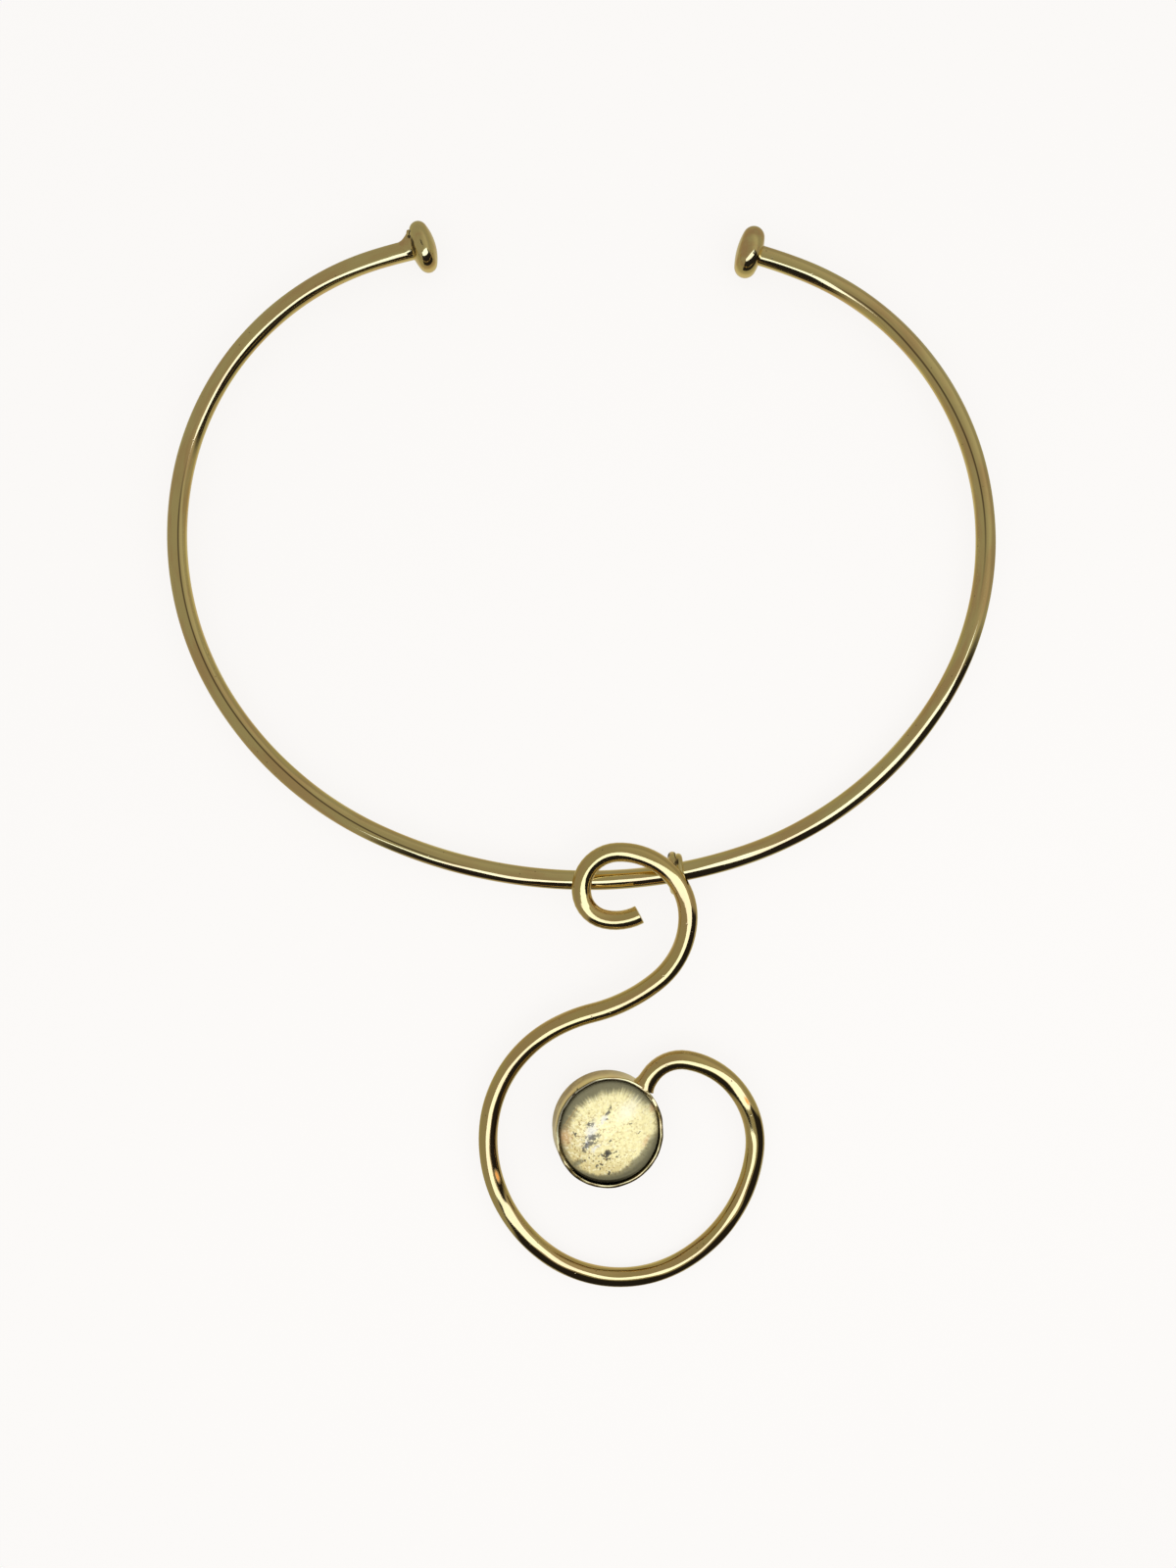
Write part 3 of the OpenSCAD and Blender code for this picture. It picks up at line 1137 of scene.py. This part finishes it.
@dataclass(frozen=True)
class BezelCup:
    """Slightly oval cup with a thin hand-worked wall."""

    width: float = 17.6
    stretch: float = 0.7
    wall: float = 0.52
    floor: float = 0.8
    height: float = 4.8
    steps: int = 144
    levels: int = 8
    wave: float = 0.06
    waves_round: float = 3.0
    waves_up: float = 1.3
    waves_out: float = 2.1
    worked_from: float = 0.4
    rim_bevel: float = 0.15
    lip_bevel: float = 0.08
    foot_bevel: float = 0.25

    def shape(self) -> Shape:
        """Raise the cup's wall from its base and sink its inside.

        Returns:
            Its shape, standing on the middle of its base.
        """
        metal = bmesh.new()
        outer = self.width / 2
        ring = circle(metal, self.steps, outer, capped=True)
        for _ in range(self.levels):
            ring = extrude_ring(metal, ring, (0.0, 0.0, self.height / self.levels))
        rim = ring
        lip = extrude_ring(metal, rim, ORIGIN)
        share = (outer - self.wall) / outer
        bmesh.ops.scale(metal, vec=(share, share, 1.0), verts=lip)
        ring = lip
        for _ in range(self.levels):
            ring = extrude_ring(metal, ring, (0.0, 0.0, (self.floor - self.height) / self.levels))
        bmesh.ops.holes_fill(metal, edges=ring_edges(ring), sides=0)
        self._work_rim(metal, outer)
        for edges, offset in ((ring_edges(rim), self.rim_bevel), (ring_edges(lip), self.lip_bevel)):
            soften(metal, edges, offset, 4)
        foot = [edge for edge in metal.edges if all(point.co.z < 1e-6 for point in edge.verts)]
        soften(metal, foot, self.foot_bevel, 3)
        stretch_oval(metal, self.stretch)
        return metal

    def _work_rim(self, metal: Shape, outer: float) -> None:
        """Leave the wall slightly wavy towards its rim, as it is after it is pressed over the stone."""
        for point in metal.verts:
            if point.co.xy.length <= outer - self.wall * 1.01:
                continue
            share = max(0.0, point.co.z / self.height - self.worked_from) / (1.0 - self.worked_from)
            angle = math.atan2(point.co.y, point.co.x)
            around = Vector((math.cos(angle) * self.waves_round, math.sin(angle) * self.waves_round, 0.2))
            point.co.z += self.wave * share * noise.noise(around * self.waves_up)
            point.co.xy *= 1.0 + self.wave / outer * share * noise.noise(around * self.waves_out)


@dataclass(frozen=True)
class Stone:
    """Domed stone with a straight side."""

    width: float
    stretch: float
    girdle: float = 3.3
    dome: float = 2.9
    steps: int = 128
    dome_steps: int = 28
    bevel: float = 0.35

    def shape(self) -> Shape:
        """Turn the stone.

        Returns:
            Its shape, standing on its flat back.
        """
        metal = bmesh.new()
        reach = self.width / 2
        top = self.girdle + self.dome
        dome_r = (reach * reach + self.dome * self.dome) / (2 * self.dome)
        half = math.degrees(math.asin(reach / dome_r))
        last = arc(metal, metal.verts.new((0.0, 0.0, top)), (0.0, 0.0, top - dome_r), half, self.dome_steps)
        for x in (reach, 0.0):
            following = metal.verts.new((x, 0.0, 0.0))
            metal.edges.new((last, following))
            last = following
        turn_round(metal, list(metal.verts), UPWARDS, self.steps)
        soft = [
            edge for edge in metal.edges
            if all(point.co.xy.length > reach - 1e-3 for point in edge.verts)
            and abs(edge.verts[0].co.z - edge.verts[1].co.z) < TOUCHING
        ]
        soften(metal, soft, self.bevel, 4)
        stretch_oval(metal, self.stretch)
        return metal


@dataclass(frozen=True)
class Pendant:
    """The pendant wire with its bail ring, the cup and the stone."""

    wire_d: float = 3.1
    rise: float = 3.4
    heading: float = -53.5
    cut_bevel: float = 0.12
    stub: float = 2.0
    stub_flare: float = 1.25
    curl_crossing: float = 15.6
    curl_bends: tuple[Bend, ...] = (Bend(11.25, 52.0), Bend(6.0, 100.0), Bend(4.75, 65.0), Bend(8.25, 40.5))
    swirl_bends: tuple[Bend, ...] = (
        Bend(10.25, -41.0), Bend(13.5, -50.0), Bend(26.5, -25.5), Bend(26.5, 14.0), Bend(21.0, 57.0),
        Bend(24.0, 58.5), Bend(20.0, 68.0), Bend(24.5, 51.5), Bend(14.5, 49.5), Bend(13.0, 37.5),
        Bend(6.0, 67.0),
    )
    cup: BezelCup = BezelCup()
    cup_across: float = -13.8
    cup_down: float = 40.6
    cup_base_rise: float = 1.4
    cup_lean: float = 9.0
    stone_gap: float = 0.12
    rim_nicks: tuple[Mark, ...] = (
        Mark(-1.2, -54.2, 0.55, 0.3, 50.0), Mark(-1.7, -55.3, 0.4, 0.22, 70.0),
        Mark(-0.6, -53.4, 0.35, 0.22, 40.0),
    )
    # painted orange highlights on the pendant wire
    wire_glints: tuple[Mark, ...] = (
        Mark(-13.7, -68.2, 2.6, 0.65, -73.0, 1.0), Mark(26.85, -55.7, 1.8, 0.5, -60.0, 1.0),
    )

    def path(self) -> list[Station]:
        """Give the stations along the swirl, from the bail, one for each degree."""
        here = Station(0.0, 0.0, self.heading)
        stations = [here]
        for bend in self.swirl_bends:
            for degree in range(1, int(abs(bend.turn)) + 1):
                stations.append(here.after(bend, degree / abs(bend.turn)))
            here = here.after(bend)
        return stations

    def build(self, bail: Bail, neck: NeckRing) -> None:
        """Build and dress the pieces of the pendant.

        Args:
            bail: The bail, which gives the pendant's place.
            neck: The neck ring that it hangs on.
        """
        place = bail.pendant_place(neck, self)
        cut_end = follow(Station(0.0, 0.0, 180.0 + self.heading), self.curl_bends)
        wire = DrawnWire(
            self.wire_d, cut_end.about(), joined(self.curl_bends, self.swirl_bends), seed=8.5,
            cut_bevel=self.cut_bevel, straight_end=self.stub, end_flare=self.stub_flare,
        )
        wire_brass = BrassFinish(
            "pendant_wire_brass", Grain.WIRE, shift=21.0, ruddy_share=0.6, hammered=0.42,
            hammer_pitch=(0.34, 0.34, 0.10), brass=(0.80, 0.62, 0.25), glints=self.wire_glints,
        ).make()
        bail_brass = BrassFinish(
            "bail_brass", Grain.PLACE, shift=15.0, roughness=0.12, hammered=0.2,
            grime_and_shade=(0.09, 0.06, 0.035), stains_and_shade=bail.stains_and_shade,
        ).make()
        cup_brass = CupFinish(
            "cup_brass", Grain.PLACE, shift=9.0, ruddy_share=0.5, roughness=0.08, hammered=0.10,
            mottle_pitch=(0.4, 0.4, 0.4), brass=(0.84, 0.69, 0.31), grime_and_shade=(0.07, 0.05, 0.03),
            stains_and_shade=self.rim_nicks,
        ).make()
        lifted = place @ Matrix.Translation((0.0, 0.0, self.rise))
        at_cup = (
            place
            @ Matrix.Translation((self.cup_across, -self.cup_down, self.cup_base_rise))
            @ Matrix.Rotation(math.radians(self.cup_lean), 4, "Y")
        )
        seat = at_cup @ Matrix.Translation((0.0, 0.0, self.cup.floor + self.stone_gap))
        stone = Stone(self.cup.width - 2 * (self.cup.wall + self.stone_gap), self.cup.stretch)
        pendant_wire = finish_piece("pendant_wire", wire.shape(), lifted, wire_brass, PENDANT_BODY)
        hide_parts("swirl_pendant")
        finish_piece("bail_ring", bail.shape(), place, bail_brass, PENDANT_BODY)
        finish_piece("bezel_cup", self.cup.shape(), at_cup, cup_brass, PENDANT_BODY)
        clear = StoneFinish().make()
        dome = finish_piece("stone_dome", stone.shape(), seat, clear, PENDANT_BODY)
        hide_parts("stone")


@dataclass(frozen=True)
class Softbox:
    """The key light: a long soft face that leans over the object, its lower edge rising to the right."""

    middle: tuple[float, float, float] = (55.0, -78.0, 166.0)
    turn: float = 23.0
    lean: float = 37.0
    left: float = -185.0
    right: float = 152.0
    top_left: float = 26.0
    top: float = 70.0
    low: float = -37.0
    rise: float = 0.03
    radiance: Colour = (1.45, 1.72, 2.42)
    power: float = 0.14

    @property
    def place(self) -> Matrix:
        """Give the place of the face, in metres, its bright side down."""
        return (
            Matrix.Translation(Vector(self.middle) * MM)
            @ Matrix.Rotation(math.radians(self.turn), 4, "Z")
            @ Matrix.Rotation(math.radians(self.lean), 4, "X")
        )

    def face(self) -> Shape:
        """Make the face that the brass mirrors."""
        sheet = bmesh.new()
        bmesh.ops.create_grid(sheet, x_segments=2, y_segments=1, size=1.0)
        tops = {self.left: self.top_left, 0.0: self.top, self.right: self.top}
        for corner in sheet.verts:
            along = (self.left, 0.0, self.right)[round(corner.co.x) + 1]
            across = tops[along] if corner.co.y > 0 else self.low + self.rise * along
            corner.co = (along * MM, across * MM, 0.0)
        bmesh.ops.transform(sheet, matrix=self.place, verts=sheet.verts)
        return sheet

    def hang(self) -> None:
        """Hang the light itself, which lights the floor and the stone."""
        light = bpy.data.lights.new("key_light", "AREA")
        light.shape = "RECTANGLE"
        light.size, light.size_y = (self.right - self.left) * MM, (self.top - self.low) * MM
        light.energy = self.power
        key = bpy.data.objects.new("key_light", light)
        key.matrix_world = self.place
        key.visible_camera = key.visible_glossy = False
        bpy.context.scene.collection.objects.link(key)


@dataclass(frozen=True)
class DarkSide:
    """The dark side of the room, low in front of the object, by the sines of its upper and lower limits."""

    azimuth: float = 296.0
    half_width: float = 58.0
    edge: float = 0.06
    top: float = 0.80
    bottom: float = -0.42
    fade: float = 0.04
    radiance: Colour = (0.018, 0.0165, 0.0195)

    def mask(self, graph: Graph, x: Signal, y: Signal, z: Signal) -> Signal:
        """Give 1 in the dark and 0 outside it, for a direction of length 1."""
        cosine, sine = math.cos(math.radians(self.azimuth)), math.sin(math.radians(self.azimuth))
        level = graph.math("SQRT", x * x + y * y + 0.0001)
        facing = (x * cosine + y * sine) / level
        limit = math.cos(math.radians(self.half_width))
        low = z.over(self.top + self.fade, self.top - self.fade)
        high = z.over(self.bottom - self.fade, self.bottom + self.fade)
        return facing.over(limit - self.edge, limit + self.edge) * low * high


@dataclass(frozen=True)
class Studio:
    """Pale floor, one soft key light close by and plain surroundings with a dark side."""

    camera_at: tuple[float, float, float] = (1.08, -4.30, 240.0)
    focal_px: float = 1475.6
    picture_height: int = 1600
    sensor: float = 24.0
    key: Softbox = Softbox()
    dark: DarkSide = DarkSide()
    paper: Colour = (0.965, 0.947, 0.930)
    paper_matt: float = 0.10
    paper_glow: float = 0.905
    mirrored_paper: Colour = (0.35, 0.335, 0.235)
    mirrored_near: Colour = (0.60, 0.56, 0.40)
    room: Colour = (0.316, 0.309, 0.264)
    bright_side: Colour = (0.435, 0.425, 0.363)
    ambient: float = 0.84
    dome_radius: float = 600.0
    floor_reach: float = 1500.0

    def build(self) -> None:
        """Set the camera, the floor, the lights and the surroundings."""
        bpy.context.scene.view_settings.view_transform = "Standard"
        self._set_camera()
        self._lay_floor()
        self.key.hang()
        self._close_room()
        self._paint_world()

    def _set_camera(self) -> None:
        """Look straight down from where the photograph was taken."""
        lens = bpy.data.cameras.new("camera")
        lens.sensor_fit = "VERTICAL"
        lens.sensor_height = self.sensor
        lens.lens = self.sensor * self.focal_px / self.picture_height
        lens.clip_start = 5.0 * MM
        camera = bpy.data.objects.new("camera", lens)
        camera.location = Vector(self.camera_at) * MM
        bpy.context.scene.collection.objects.link(camera)
        bpy.context.scene.camera = camera

    def _lay_floor(self) -> None:
        """Lay the pale floor. The brass mirrors the lower half of the room in its place."""
        graph = Graph("pale_floor")
        matt_paper = tuple(self.paper_matt * part for part in self.paper)
        matt = graph.add("ShaderNodeBsdfDiffuse", {}, {"Color": matt_paper})
        glow = graph.glow(self.paper, self.paper_glow)
        sheet = bmesh.new()
        bmesh.ops.create_grid(sheet, x_segments=1, y_segments=1, size=self.floor_reach * MM)
        paper = graph.close(graph.add("ShaderNodeAddShader", {}, {0: matt, 1: glow}))
        floor = stand("floor", sheet, paper)
        floor.visible_glossy = False

    def _close_room(self) -> None:
        """Close a room that only the object's reflections see, and hang the key light's face in it."""
        graph = Graph("mirrored_room")
        x, y, z = graph.split(graph.vector("NORMALIZE", graph.place_in_mm()))
        bright = (x * 0.9 + y * 0.3).over(0.0, 0.8) * z.over(0.2, 0.55)
        colour = graph.coats(
            self.room,
            (bright, self.bright_side),
            (z.over(-0.10, -0.28), self.mirrored_paper),
            (z.over(-0.55, -0.95), self.mirrored_near),
            (self.dark.mask(graph, x, y, z), self.dark.radiance),
        )
        shell = bmesh.new()
        bmesh.ops.create_uvsphere(shell, u_segments=96, v_segments=48, radius=self.dome_radius * MM)
        room = stand("mirrored_room", shell, graph.close(graph.glow(colour)))
        lit = Graph("key_face")
        face = stand("key_face", self.key.face(), lit.close(lit.glow(self.key.radiance)))
        for mirrored in (room, face):
            mirrored.visible_camera = mirrored.visible_diffuse = False
            mirrored.visible_shadow = mirrored.visible_transmission = False

    def _paint_world(self) -> None:
        """Paint the pale surroundings and the soft light that comes from all sides."""
        graph = Graph("room", world=True)
        ambient, seen = (
            graph.add("ShaderNodeBackground", {}, {"Color": colour, "Strength": strength})
            for colour, strength in (((1.0, 1.0, 1.0), self.ambient), (self.paper, 1.0))
        )
        to_camera = graph.add("ShaderNodeLightPath", output="Is Camera Ray")
        shown = graph.add("ShaderNodeMixShader", {}, {0: to_camera, 1: ambient, 2: seen})
        bpy.context.scene.world = graph.close(shown, "ShaderNodeOutputWorld")


def main() -> None:
    """Build the choker and its studio."""
    logging.basicConfig(level=logging.INFO, format="%(name)s: %(message)s")
    neck = NeckRing()
    bail = Bail()
    Studio().build()
    neck.build(bail)
    Pendant().build(bail, neck)


if __name__ == "__main__":
    main()
